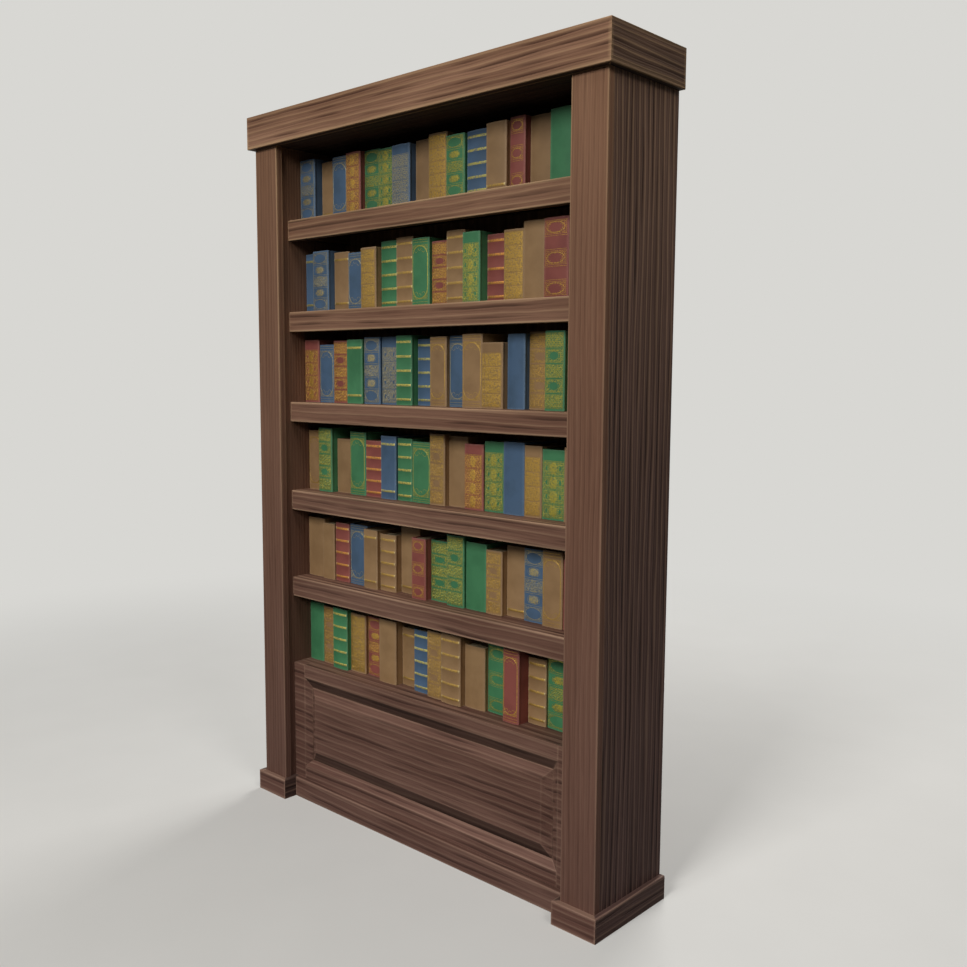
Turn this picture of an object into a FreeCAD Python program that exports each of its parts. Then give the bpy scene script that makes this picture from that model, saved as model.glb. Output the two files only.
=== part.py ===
import FreeCAD, Part
import os

# Bookcase with a boxed cornice, boxed pilaster sides, five fixed shelves,
# a raised and fielded panel below them, and six rows of bound books.
# Lengths are in millimetres. X runs to the right as one faces the case, Y to the back
# and Z up. The origin is on the floor, below the middle of the whole outline.

# Whole case
case_height = 2200.0  # floor to the top of the cornice
case_width = 1374.0  # across the two side panels
case_depth = 295.0  # front of the stiles to the back of the side panels

# Cornice, a box of mitred boards round the top board
cornice_height = 99.5
cornice_overhang = 18.0  # how far it stands out over the stiles and side panels
cornice_thickness = 22.0
top_board_thickness = 20.0
cap_thickness = 12.0
cornice_block_size = 40.0  # glue blocks in the corners of the box

# Sides, each a hollow box of a side panel, a lining and a front stile
stile_width = 108.5
stile_thickness = 22.0
side_panel_thickness = 20.0
lining_thickness = 18.0
lining_setback = 5.5  # the stile stands past the lining by this much
batten_depth = 30.0  # upright battens that keep the panel and the lining apart

# Plinth mouldings at the foot of each side, and the baseboard between them
plinth_height = 64.0
plinth_projection = 16.0

# Shelves and deck
tier_count = 6  # rows of books, each on a shelf, the lowest on the deck
front_setback = 45.5  # shelf edges and lower front behind the face of the stiles
shelf_thickness = 25.0
shelf_edge_height = 63.0
shelf_edge_thickness = 22.0
cleat_width = 20.0
cleat_height = 30.0
arris_chamfer = 1.5  # eased front edges of stiles, shelves, cornice and plinth

# Back, upright tongued boards nailed to the shelves
back_thickness = 12.0
back_board_count = 8
board_tongue_length = 6.0
board_tongue_thickness = 4.0
board_play = 0.3  # room for the boards to swell

# Cut nails through the back boards into the shelves
nail_length = 38.0
nail_width = 3.2
nail_thickness = 2.4
nail_head_width = 7.0
nail_head_thickness = 1.6
nail_play = 0.1

# Lower front, a frame of two stiles and two rails round the raised panel
deck_height = 449.0  # floor to the top of the deck and of the frame
frame_thickness = 30.0
frame_stile_width = 54.0  # to the arris where the bevel begins
frame_top_rail_height = 42.5
frame_bottom_rail_height = 107.0
frame_bevel_width = 25.0  # on the stiles
frame_upper_bevel_width = 32.0
frame_lower_bevel_width = 22.0
bevel_depth = 14.0  # from the face down to the valley of the groove
tenon_length = 30.0
tenon_thickness = 8.0
tenon_shoulder = 8.0  # uncut wood above and below a tenon
tenon_setback = 16.0  # face of the frame to the front of the tenon

# Raised panel
panel_bevel_width = 30.0  # from the valley of the groove up to the flat field
panel_lower_bevel_width = 36.0
panel_tongue_thickness = 6.0
panel_tongue_length = 8.0
panel_tongue_setback = 4.0  # valley to the front of the tongue
panel_body_thickness = 13.0  # behind the valley
panel_play = 0.3  # the panel is loose in its groove, so that it can swell

# Books
book_gap = 0.3  # between neighbours
cover_thickness = 3.2
spine_thickness = 3.0
spine_round_share = 0.04  # rise of the rounded spine, of the book's thickness
page_inset = 3.5  # the covers stand out past the pages by this much
page_play = 0.4  # between the rounded back of the pages and the spine
book_depth_share = 0.68  # a book as tall as its tier, front to back, of the shelf's depth

# Each row from the left: thickness as a share of the inner width, height as a share
# of the clear height, and set-back as a share of the depth of the shelf.
row_1_thickness_shares = [0.063, 0.062, 0.062, 0.058, 0.061, 0.062, 0.065, 0.061,
                          0.063, 0.061, 0.069, 0.062, 0.045, 0.068, 0.066, 0.066]
row_1_height_shares = [0.85, 0.80, 0.82, 0.83, 0.83, 0.80, 0.79, 0.82,
                       0.84, 0.77, 0.78, 0.81, 0.84, 0.83, 0.84, 0.83]
row_1_setback_shares = [0.20, 0.32, 0.25, 0.22, 0.29, 0.25, 0.20, 0.30,
                        0.22, 0.20, 0.24, 0.19, 0.25, 0.33, 0.26, 0.25]
row_2_thickness_shares = [0.058, 0.066, 0.062, 0.062, 0.059, 0.063, 0.062, 0.061,
                          0.060, 0.061, 0.056, 0.062, 0.062, 0.064, 0.069, 0.068]
row_2_height_shares = [0.83, 0.84, 0.81, 0.78, 0.82, 0.89, 0.91, 0.87,
                       0.81, 0.91, 0.86, 0.82, 0.84, 0.91, 0.91, 0.85]
row_2_setback_shares = [0.28, 0.17, 0.27, 0.25, 0.20, 0.29, 0.26, 0.24,
                        0.28, 0.23, 0.19, 0.31, 0.25, 0.23, 0.20, 0.25]
row_3_thickness_shares = [0.063, 0.062, 0.062, 0.062, 0.063, 0.065, 0.058, 0.062,
                          0.057, 0.060, 0.065, 0.067, 0.053, 0.067, 0.056, 0.073]
row_3_height_shares = [0.89, 0.82, 0.87, 0.88, 0.91, 0.91, 0.92, 0.87,
                       0.89, 0.90, 0.91, 0.80, 0.90, 0.92, 0.92, 0.92]
row_3_setback_shares = [0.24, 0.25, 0.24, 0.21, 0.24, 0.27, 0.22, 0.32,
                        0.23, 0.28, 0.19, 0.17, 0.25, 0.32, 0.19, 0.25]
row_4_thickness_shares = [0.061, 0.058, 0.064, 0.064, 0.066, 0.058, 0.054, 0.067,
                          0.053, 0.064, 0.062, 0.063, 0.064, 0.052, 0.070, 0.075]
row_4_height_shares = [0.87, 0.92, 0.77, 0.89, 0.78, 0.86, 0.84, 0.81,
                       0.93, 0.91, 0.83, 0.88, 0.89, 0.86, 0.83, 0.87]
row_4_setback_shares = [0.29, 0.22, 0.31, 0.27, 0.27, 0.24, 0.27, 0.27,
                        0.25, 0.32, 0.26, 0.28, 0.26, 0.26, 0.26, 0.21]
row_5_thickness_shares = [0.071, 0.050, 0.059, 0.070, 0.054, 0.061, 0.070, 0.051,
                          0.070, 0.059, 0.068, 0.052, 0.060, 0.063, 0.058, 0.079]
row_5_height_shares = [0.87, 0.82, 0.85, 0.86, 0.83, 0.79, 0.91, 0.82,
                       0.81, 0.93, 0.87, 0.81, 0.89, 0.90, 0.92, 0.84]
row_5_setback_shares = [0.27, 0.24, 0.26, 0.27, 0.21, 0.26, 0.35, 0.21,
                        0.30, 0.23, 0.26, 0.25, 0.33, 0.29, 0.24, 0.25]
row_6_thickness_shares = [0.060, 0.058, 0.061, 0.063, 0.065, 0.066, 0.062, 0.058,
                          0.055, 0.067, 0.067, 0.072, 0.050, 0.055, 0.073, 0.063]
row_6_height_shares = [0.88, 0.85, 0.89, 0.85, 0.85, 0.89, 0.81, 0.85,
                       0.90, 0.93, 0.82, 0.89, 0.93, 0.84, 0.90, 0.85]
row_6_setback_shares = [0.28, 0.28, 0.21, 0.27, 0.31, 0.22, 0.33, 0.25,
                        0.20, 0.17, 0.25, 0.30, 0.17, 0.33, 0.35, 0.25]

# One book in each row is a piece of its own that can be drawn out
loose_book_numbers = [7, 11, 12, 2, 8, 13]

# Planes that several pieces share
half_width = case_width / 2
stile_inner_x = half_width - stile_width
inner_half_width = stile_inner_x + lining_setback  # face of the lining
front_y = (cornice_overhang - case_depth) / 2  # face of the stiles
back_y = front_y + case_depth
shelf_front_y = front_y + front_setback
back_panel_y = back_y - back_thickness
opening_top = case_height - cornice_height  # underside of the top board
clear_height = (opening_top - deck_height - (tier_count - 1) * shelf_edge_height) / tier_count
shelf_pitch = clear_height + shelf_edge_height


def box(x_low, x_high, y_low, y_high, z_low, z_high):
    corner = FreeCAD.Vector(x_low, y_low, z_low)
    return Part.makeBox(x_high - x_low, y_high - y_low, z_high - z_low, corner)


def upright(points, z_low, z_high):
    """Outline of x and y places, drawn up from one height to another."""
    corners = [FreeCAD.Vector(x, y, z_low) for x, y in points]
    face = Part.Face(Part.makePolygon(corners + corners[:1]))
    return face.extrude(FreeCAD.Vector(0, 0, z_high - z_low))


def board(points, y_low, y_high):
    """Outline of x and z places, drawn back from one depth to another."""
    corners = [FreeCAD.Vector(x, y_low, z) for x, z in points]
    face = Part.Face(Part.makePolygon(corners + corners[:1]))
    return face.extrude(FreeCAD.Vector(0, y_high - y_low, 0))


def eased(shape, is_arris):
    """The shape with a small chamfer along the edges whose boxes are picked."""
    arrises = [edge for edge in shape.Edges if is_arris(edge.BoundBox)]
    return shape.makeChamfer(arris_chamfer, arrises)


def at(value, plane):
    """Whether a place lies on a plane, within the chamfer's size."""
    return abs(value - plane) < arris_chamfer / 2


def mirrored(shape):
    return shape.mirror(FreeCAD.Vector(0, 0, 0), FreeCAD.Vector(1, 0, 0))


def tier_floor(row):
    """Height of the shelf under a row of books. Row 1 is the highest."""
    return deck_height + (tier_count - row) * shelf_pitch


def side_panel():
    return box(-half_width, -half_width + side_panel_thickness,
               front_y + stile_thickness, back_y, 0, opening_top)


def side_lining():
    return box(-inner_half_width - lining_thickness, -inner_half_width,
               front_y + stile_thickness, back_panel_y, 0, opening_top)


def front_stile():
    stile = box(-half_width, -stile_inner_x, front_y, front_y + stile_thickness,
                0, opening_top)
    return eased(stile, lambda edge: at(edge.YMax, front_y) and at(edge.XMin, edge.XMax))


def side_battens():
    """One upright batten at the front and one at the back of a side."""
    x_low = -half_width + side_panel_thickness
    x_high = -inner_half_width - lining_thickness
    front_batten = box(x_low, x_high, front_y + stile_thickness,
                       front_y + stile_thickness + batten_depth, 0, opening_top)
    rear_batten = box(x_low, x_high, back_panel_y - batten_depth, back_panel_y, 0, opening_top)
    return [front_batten, rear_batten]


back_half_width = half_width - side_panel_thickness
back_board_width = 2 * back_half_width / back_board_count


def nail(x, z, play):
    """Cut nail driven forward from the back, or with some play the hole that takes it."""
    head_half = nail_head_width / 2 + play
    shank_half_width = nail_width / 2 + play
    shank_half_height = nail_thickness / 2 + play
    head = box(x - head_half, x + head_half, back_y - nail_head_thickness, back_y,
               z - shank_half_height, z + shank_half_height)
    shank = box(x - shank_half_width, x + shank_half_width, back_y - nail_length - play,
                back_y - nail_head_thickness, z - shank_half_height, z + shank_half_height)
    return head.fuse(shank)


def nail_columns():
    """One nail in the middle of each back board."""
    first = -back_half_width + back_board_width / 2
    return [first + number * back_board_width for number in range(back_board_count)]


def shelf_middle(row):
    return tier_floor(row) - shelf_thickness / 2


def nail_holes(row):
    holes = [nail(x, shelf_middle(row), nail_play) for x in nail_columns()
             if abs(x) < inner_half_width - cleat_width]
    return Part.makeCompound(holes)


def back_nails():
    nails = []
    for row in range(1, tier_count + 1):
        for x in nail_columns():
            if abs(x) < inner_half_width - cleat_width:
                nails.append(nail(x, shelf_middle(row), 0))
    return nails


def back_boards():
    """Each board but the last has a tongue that enters the groove of the next."""
    boards = []
    middle_y = (back_panel_y + back_y) / 2
    tongue_half = board_tongue_thickness / 2
    groove_half = tongue_half + board_play
    for number in range(back_board_count):
        left = -back_half_width + number * back_board_width
        right = left + back_board_width
        plank = box(left, right - board_play, back_panel_y, back_y, 0, opening_top)
        if number > 0:
            plank = plank.cut(box(left, left + board_tongue_length, middle_y - groove_half,
                                  middle_y + groove_half, 0, opening_top))
        if number < back_board_count - 1:
            tip = right + board_tongue_length - board_play
            plank = plank.fuse(box(right - board_play, tip, middle_y - tongue_half,
                                   middle_y + tongue_half, 0, opening_top))
        for row in range(1, tier_count + 1):
            plank = plank.cut(nail_holes(row))
        boards.append(plank)
    return boards


cornice_front_y = front_y - cornice_overhang
cornice_half_width = half_width + cornice_overhang
cornice_inner_half = cornice_half_width - cornice_thickness
cornice_inner_y = cornice_front_y + cornice_thickness
cap_underside = case_height - cap_thickness


def cornice_front():
    outline = [(-cornice_half_width, cornice_front_y), (cornice_half_width, cornice_front_y),
               (cornice_inner_half, cornice_inner_y), (-cornice_inner_half, cornice_inner_y)]
    front = upright(outline, opening_top, case_height)
    return eased(front, lambda edge: at(edge.YMax, cornice_front_y)
                 and at(edge.ZMin, edge.ZMax))


def cornice_return():
    outline = [(-cornice_half_width, cornice_front_y), (-cornice_inner_half, cornice_inner_y),
               (-cornice_inner_half, back_y), (-cornice_half_width, back_y)]
    side = upright(outline, opening_top, case_height)
    return eased(side, lambda edge: at(edge.XMax, -cornice_half_width)
                 and at(edge.ZMin, edge.ZMax))


def top_board():
    return box(-cornice_inner_half, cornice_inner_half, cornice_inner_y, back_y,
               opening_top, opening_top + top_board_thickness)


def cornice_cap():
    return box(-cornice_inner_half, cornice_inner_half, cornice_inner_y, back_y,
               cap_underside, case_height)


def cornice_back_rail():
    return box(-cornice_inner_half, cornice_inner_half, back_y - cornice_thickness, back_y,
               opening_top + top_board_thickness, cap_underside)


def cornice_blocks():
    """Three blocks along the front and three along the back rail."""
    blocks = []
    block_span = cornice_inner_half - cornice_block_size / 2
    rear_y = back_y - cornice_thickness - cornice_block_size
    for y in (cornice_inner_y, rear_y):
        for place in (-1, 0, 1):
            middle = place * block_span
            blocks.append(box(middle - cornice_block_size / 2, middle + cornice_block_size / 2,
                              y, y + cornice_block_size,
                              opening_top + top_board_thickness, cap_underside))
    return blocks


def plinth_front():
    outer = half_width + plinth_projection
    inner = stile_inner_x - plinth_projection
    outline = [(-outer, front_y - plinth_projection), (-inner, front_y - plinth_projection),
               (-stile_inner_x, front_y), (-half_width, front_y)]
    front = upright(outline, 0, plinth_height)
    return eased(front, lambda edge: at(edge.YMax, front_y - plinth_projection)
                 and at(edge.ZMin, plinth_height))


def plinth_return():
    inner = stile_inner_x - plinth_projection
    stile_back_y = front_y + stile_thickness
    outline = [(-inner, front_y - plinth_projection), (-inner, shelf_front_y),
               (-inner_half_width, shelf_front_y), (-inner_half_width, stile_back_y),
               (-stile_inner_x, stile_back_y), (-stile_inner_x, front_y)]
    inner_return = upright(outline, 0, plinth_height)
    return eased(inner_return, lambda edge: at(edge.XMin, -inner)
                 and at(edge.ZMin, plinth_height))


def plinth_side():
    outer = half_width + plinth_projection
    outline = [(-outer, front_y - plinth_projection), (-half_width, front_y),
               (-half_width, back_y), (-outer, back_y)]
    side = upright(outline, 0, plinth_height)
    return eased(side, lambda edge: at(edge.XMax, -outer) and at(edge.ZMin, plinth_height))


def baseboard():
    inner = stile_inner_x - plinth_projection
    low_board = box(-inner, inner, shelf_front_y - plinth_projection, shelf_front_y,
                    0, plinth_height)
    return eased(low_board, lambda edge: at(edge.YMax, shelf_front_y - plinth_projection)
                 and at(edge.ZMin, plinth_height))


def shelf_board(row):
    floor = tier_floor(row)
    shelf = box(-inner_half_width, inner_half_width, shelf_front_y + shelf_edge_thickness,
                back_panel_y, floor - shelf_thickness, floor)
    return shelf.cut(nail_holes(row))


def shelf_edge(row):
    floor = tier_floor(row)
    edge_board = box(-inner_half_width, inner_half_width, shelf_front_y,
                     shelf_front_y + shelf_edge_thickness, floor - shelf_edge_height, floor)
    return eased(edge_board, lambda edge: at(edge.YMax, shelf_front_y)
                 and at(edge.ZMin, edge.ZMax))


def deck_board():
    deck = box(-inner_half_width, inner_half_width, shelf_front_y + frame_thickness,
               back_panel_y, deck_height - shelf_thickness, deck_height)
    return deck.cut(nail_holes(tier_count))


def shelf_cleats():
    """A pair of battens under the ends of every shelf and of the deck."""
    cleats = []
    for row in range(1, tier_count + 1):
        front = shelf_edge_thickness
        if row == tier_count:
            front = frame_thickness
        top = tier_floor(row) - shelf_thickness
        cleat = box(-inner_half_width, -inner_half_width + cleat_width,
                    shelf_front_y + front, back_panel_y, top - cleat_height, top)
        cleats.extend([cleat, mirrored(cleat)])
    return cleats


# Lines of the lower frame, seen from the front
arris_half = inner_half_width - frame_stile_width
valley_half = arris_half - frame_bevel_width
arris_top = deck_height - frame_top_rail_height
valley_top = arris_top - frame_upper_bevel_width
arris_bottom = frame_bottom_rail_height
valley_bottom = arris_bottom + frame_lower_bevel_width
valley_y = shelf_front_y + bevel_depth
tongue_y = valley_y + panel_tongue_setback
frame_back_y = shelf_front_y + frame_thickness


def rectangle(half, z_low, z_high, y):
    corners = [FreeCAD.Vector(-half, y, z_low), FreeCAD.Vector(half, y, z_low),
               FreeCAD.Vector(half, y, z_high), FreeCAD.Vector(-half, y, z_high)]
    return Part.makePolygon(corners + corners[:1])


def frame_opening():
    """The hollow of the frame: its bevels and the groove that holds the panel."""
    bevels = Part.makeLoft([rectangle(arris_half, arris_bottom, arris_top, shelf_front_y),
                            rectangle(valley_half, valley_bottom, valley_top, valley_y)],
                           True, True)
    reach = panel_tongue_length + panel_play
    groove = box(-valley_half - reach, valley_half + reach,
                 tongue_y - panel_play, tongue_y + panel_tongue_thickness + panel_play,
                 valley_bottom - reach, valley_top + reach)
    return bevels.fuse(groove)


def tenon(side, z_low, z_high, play):
    """Tenon of a rail, or with some play the mortise that takes it."""
    near = arris_half
    far = arris_half + tenon_length + play
    x_low, x_high = sorted((side * near, side * far))
    y_low = shelf_front_y + tenon_setback
    return box(x_low, x_high, y_low - play, y_low + tenon_thickness + play,
               z_low + tenon_shoulder - play, z_high - tenon_shoulder + play)


def frame_stile():
    outline = [(-inner_half_width, 0), (-arris_half, 0), (-arris_half, arris_bottom),
               (-valley_half, valley_bottom), (-valley_half, valley_top),
               (-arris_half, arris_top), (-arris_half, deck_height),
               (-inner_half_width, deck_height)]
    stile = board(outline, shelf_front_y, frame_back_y).cut(frame_opening())
    stile = stile.cut(tenon(-1, arris_top, deck_height, panel_play))
    return stile.cut(tenon(-1, 0, arris_bottom, panel_play))


def frame_top_rail():
    outline = [(-arris_half, deck_height), (-arris_half, arris_top),
               (-valley_half, valley_top), (valley_half, valley_top),
               (arris_half, arris_top), (arris_half, deck_height)]
    rail = board(outline, shelf_front_y, frame_back_y).cut(frame_opening())
    for side in (-1, 1):
        rail = rail.fuse(tenon(side, arris_top, deck_height, 0))
    return rail


def frame_bottom_rail():
    outline = [(-arris_half, 0), (arris_half, 0), (arris_half, arris_bottom),
               (valley_half, valley_bottom), (-valley_half, valley_bottom),
               (-arris_half, arris_bottom)]
    rail = board(outline, shelf_front_y, frame_back_y).cut(frame_opening())
    for side in (-1, 1):
        rail = rail.fuse(tenon(side, 0, arris_bottom, 0))
    return rail


def raised_panel():
    """Flat field, mitred bevels down to the valley, and a tongue all round."""
    half = valley_half - panel_play
    low = valley_bottom + panel_play
    high = valley_top - panel_play
    field_half = half - panel_bevel_width
    field = Part.makeLoft([rectangle(field_half, low + panel_lower_bevel_width,
                                     high - panel_bevel_width, shelf_front_y),
                           rectangle(half, low, high, valley_y)], True, True)
    body = box(-half, half, valley_y, valley_y + panel_body_thickness, low, high)
    tongue = box(-half - panel_tongue_length, half + panel_tongue_length,
                 tongue_y, tongue_y + panel_tongue_thickness,
                 low - panel_tongue_length, high + panel_tongue_length)
    return field.fuse([body, tongue])


def arc_edge(start, middle, end):
    return Part.Arc(FreeCAD.Vector(start[0], start[1], 0),
                    FreeCAD.Vector(middle[0], middle[1], 0),
                    FreeCAD.Vector(end[0], end[1], 0)).toShape()


def line_edges(points):
    edges = []
    for start, end in zip(points[:-1], points[1:]):
        edges.append(Part.makeLine(FreeCAD.Vector(start[0], start[1], 0),
                                   FreeCAD.Vector(end[0], end[1], 0)))
    return edges


def book_case(thickness, height, depth):
    """Two covers and a rounded spine in one piece, spine to the front."""
    rise = thickness * spine_round_share
    inner = cover_thickness
    inner_back = rise + spine_thickness
    edges = [arc_edge((0, rise), (thickness / 2, 0), (thickness, rise))]
    edges += line_edges([(thickness, rise), (thickness, depth), (thickness - inner, depth),
                         (thickness - inner, inner_back)])
    edges.append(arc_edge((thickness - inner, inner_back), (thickness / 2, spine_thickness),
                          (inner, inner_back)))
    edges += line_edges([(inner, inner_back), (inner, depth), (0, depth), (0, rise)])
    face = Part.Face(Part.Wire(edges))
    return face.extrude(FreeCAD.Vector(0, 0, height))


def page_block(thickness, height, depth):
    """Pages between the covers, rounded like the spine at the back and hollow in front."""
    rise = thickness * spine_round_share
    left = cover_thickness
    right = thickness - cover_thickness
    shoulder = rise + spine_thickness + page_play
    crown = spine_thickness + page_play
    fore = depth - page_inset
    edges = [arc_edge((left, shoulder), (thickness / 2, crown), (right, shoulder))]
    edges += line_edges([(right, shoulder), (right, fore)])
    edges.append(arc_edge((right, fore), (thickness / 2, fore - rise), (left, fore)))
    edges += line_edges([(left, fore), (left, shoulder)])
    face = Part.Face(Part.Wire(edges))
    block = face.extrude(FreeCAD.Vector(0, 0, height - 2 * page_inset))
    block.translate(FreeCAD.Vector(0, 0, page_inset))
    return block


def row_books(row, thickness_shares, height_shares, setback_shares):
    """Case and pages of every book in a row, in place, from the left."""
    books = []
    x = -inner_half_width + book_gap
    shelf_depth = back_panel_y - shelf_front_y
    for thickness_share, height_share, setback_share in zip(thickness_shares, height_shares,
                                                            setback_shares):
        thickness = thickness_share * 2 * inner_half_width
        height = height_share * clear_height
        depth = height_share * book_depth_share * shelf_depth
        place = FreeCAD.Vector(x, shelf_front_y + setback_share * shelf_depth, tier_floor(row))
        case = book_case(thickness, height, depth)
        pages = page_block(thickness, height, depth)
        case.translate(place)
        pages.translate(place)
        books.append((case, pages))
        x += thickness + book_gap
    return books


def save(name, shapes):
    shape = shapes
    if isinstance(shapes, list):
        shape = Part.makeCompound(shapes)
    shape.exportStep("parts/" + name + ".step")


def save_pair(name, left_shape):
    save("left_" + name, left_shape)
    save("right_" + name, mirrored(left_shape))


def save_case():
    save_pair("side_panel", side_panel())
    save_pair("side_lining", side_lining())
    save_pair("front_stile", front_stile())
    battens = side_battens()
    save("side_battens", battens + [mirrored(batten) for batten in battens])
    save("back_boards", back_boards())
    save("back_nails", back_nails())
    save("top_board", top_board())
    save("cornice_front", cornice_front())
    save_pair("cornice_return", cornice_return())
    save("cornice_back_rail", cornice_back_rail())
    save("cornice_cap", cornice_cap())
    save("cornice_blocks", cornice_blocks())
    save_pair("plinth_front", plinth_front())
    save_pair("plinth_return", plinth_return())
    save_pair("plinth_side", plinth_side())
    save("baseboard", baseboard())


def save_shelves():
    for row in range(1, tier_count):
        save("shelf_%d" % row, shelf_board(row))
        save("shelf_%d_edge" % row, shelf_edge(row))
    save("deck_board", deck_board())
    save("shelf_cleats", shelf_cleats())


def save_lower_front():
    save("frame_left_stile", frame_stile())
    save("frame_right_stile", mirrored(frame_stile()))
    save("frame_top_rail", frame_top_rail())
    save("frame_bottom_rail", frame_bottom_rail())
    save("raised_panel", raised_panel())


def save_books():
    rows = [(row_1_thickness_shares, row_1_height_shares, row_1_setback_shares),
            (row_2_thickness_shares, row_2_height_shares, row_2_setback_shares),
            (row_3_thickness_shares, row_3_height_shares, row_3_setback_shares),
            (row_4_thickness_shares, row_4_height_shares, row_4_setback_shares),
            (row_5_thickness_shares, row_5_height_shares, row_5_setback_shares),
            (row_6_thickness_shares, row_6_height_shares, row_6_setback_shares)]
    page_blocks = []
    for row, (tables, loose_number) in enumerate(zip(rows, loose_book_numbers), 1):
        books = row_books(row, *tables)
        loose_case, loose_pages = books.pop(loose_number - 1)
        save("row_%d_loose_book_case" % row, loose_case)
        save("row_%d_loose_book_pages" % row, loose_pages)
        save("row_%d_book_cases" % row, [case for case, pages in books])
        page_blocks.extend(pages for case, pages in books)
    save("page_blocks", page_blocks)


os.makedirs("parts", exist_ok=True)
save_case()
save_shelves()
save_lower_front()
save_books()
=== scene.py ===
import bpy
import bmesh
import math
from mathutils import Matrix, Vector


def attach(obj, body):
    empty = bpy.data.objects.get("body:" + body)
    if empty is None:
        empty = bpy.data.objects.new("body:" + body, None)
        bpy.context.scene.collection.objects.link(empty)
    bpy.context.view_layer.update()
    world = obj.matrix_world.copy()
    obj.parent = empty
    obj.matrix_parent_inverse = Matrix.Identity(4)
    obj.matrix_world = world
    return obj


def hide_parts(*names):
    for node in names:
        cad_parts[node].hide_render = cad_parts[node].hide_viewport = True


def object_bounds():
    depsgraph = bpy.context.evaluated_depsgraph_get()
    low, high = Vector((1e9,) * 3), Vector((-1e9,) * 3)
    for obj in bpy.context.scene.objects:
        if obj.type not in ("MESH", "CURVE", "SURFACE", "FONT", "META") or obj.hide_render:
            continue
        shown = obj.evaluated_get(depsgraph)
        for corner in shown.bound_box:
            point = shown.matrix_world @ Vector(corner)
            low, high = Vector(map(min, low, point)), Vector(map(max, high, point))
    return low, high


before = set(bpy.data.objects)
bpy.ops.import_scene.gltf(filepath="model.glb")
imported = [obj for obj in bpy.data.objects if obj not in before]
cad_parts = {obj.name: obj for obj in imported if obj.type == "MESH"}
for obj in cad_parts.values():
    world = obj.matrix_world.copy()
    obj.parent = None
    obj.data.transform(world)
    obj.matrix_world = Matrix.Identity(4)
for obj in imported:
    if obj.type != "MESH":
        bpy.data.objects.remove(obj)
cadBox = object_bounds()
scene = bpy.context.scene
mm = 0.001
print("frame loaded,", len(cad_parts), "nodes")


def hexColour(code):
    parts = [int(code[i:i + 2], 16) / 255 for i in (1, 3, 5)]
    linear = [c / 12.92 if c <= 0.04045 else ((c + 0.055) / 1.055) ** 2.4 for c in parts]
    return (*linear, 1.0)


def feed(node, inputs):
    # each input gets a value, a socket or a node's first output
    for key, value in inputs.items():
        if isinstance(value, bpy.types.Node):
            value = value.outputs[0]
        if isinstance(value, bpy.types.NodeSocket):
            node.id_data.links.new(value, node.inputs[key])
        else:
            node.inputs[key].default_value = value


def addNode(tree, kind, inputs, **settings):
    node = tree.nodes.new("ShaderNode" + kind)
    for key, value in settings.items():
        setattr(node, key, value)
    feed(node, inputs)
    return node


def setStops(node, stops):
    # a stop is a place and either a hex colour or a grey
    ramp = node.color_ramp
    while len(ramp.elements) < len(stops):
        ramp.elements.new(0.5)
    for element, (place, colour) in zip(ramp.elements, stops):
        element.position = place
        element.color = hexColour(colour) if isinstance(colour, str) else (colour, colour, colour, 1.0)
    return node


def newMaterial(name, values):
    material = bpy.data.materials.new(name)
    material.use_nodes = True
    tree = material.node_tree
    surface = tree.nodes["Principled BSDF"]
    feed(surface, values)
    return material, tree, surface


def newObject(name, data):
    made = bpy.data.objects.new(name, data)
    scene.collection.objects.link(made)
    return made


def newPiece(name, mesh, body, slot, nodes):
    piece = newObject(name, mesh)
    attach(piece, body)
    if nodes:
        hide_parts(*nodes)
    return piece


# walnut boards, planed, stained and waxed: dark growth lines stand a little below the paler wood
walnut = {
    "light": "#8C684F",  # early wood between the lines
    "mid": "#75533E",
    "dark": "#38241A",  # the growth lines, filled with stain
    "wornAndHighlight": "#BB9972",  # wax rubbed off along the arrises, partly a painted highlight; also the colour of the painted highlight beside each line
    "ring": 21.0,  # mm from one growth line to the next
    "sawn": (0.0, 0.6, 0.8),  # how the growth lines cross the board: along, across and through it
    "wander": (((0.7, 5.0, 5.0), 1.3), ((5.0, 30.0, 30.0), 0.4)),  # scales per metre, and lines strayed
    "fade": 260.0,  # mm, the length over which a line comes and goes
    "fadeAlone": 0.9,  # at 1 every line comes and goes by itself
    "faintest": 0.12,  # share of a line that is left where it fades
    "between": 0.28,  # strength of the finer lines halfway
    "share": 0.76,  # how dark the lines go
    "pale": 0.35,  # strength of the painted highlight beside each dark line
    "patches": (1.5, 14.0, 14.0),  # scales per metre of the paler and darker wood
    "fibre": 1.7,  # mm, drawn coarser than real pores so that it shows
    "fibreWidth": 0.03,  # its width beside its length
    "fibreTone": (0.9, 1.08),  # how far it darkens and pales the wood
    "relief": 1.3,  # mm the lines lie below the surface
    "fibreRelief": 0.3,  # the same of the fibre, as a share
    "foot": (1.0, 1.0, 1.34),  # colour of the wood at the floor beside that at the top: a painted cooler shade towards the floor
    "roughness": 0.62,
    "lineRoughness": 0.2,  # the lines hold less wax
    "surface": {"IOR": 1.5, "Specular IOR Level": 0.14},
}
# flat-sawn side panels: close, nearly black lines, each with a painted highlight beside it
figuredWalnut = dict(walnut, light="#806250", mid="#6B5040", dark="#1B100A", ring=18.0, faintest=0.35,
                     wander=(((0.9, 5.0, 5.0), 1.6), ((2.6, 34.0, 34.0), 0.9)), fade=330.0,
                     between=0.55, share=0.97, relief=2.0, pale=0.45)
# returns of the cornice and plinth: the same figure, softer
returnWalnut = dict(figuredWalnut, light="#705443", mid="#5B4536", dark="#2A1A11", fade=240.0,
                    faintest=0.3, between=0.4, share=0.85)
# stiles and linings: quarter-sawn, straight and calm
calmWalnut = dict(walnut, light="#836048", mid="#78563F", dark="#4F3527", ring=9.0, faintest=0.2,
                  wander=(((0.8, 9.0, 9.0), 2.0), ((4.0, 60.0, 60.0), 0.8)), fade=420.0, share=0.42,
                  relief=0.7, pale=0.1)
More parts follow.
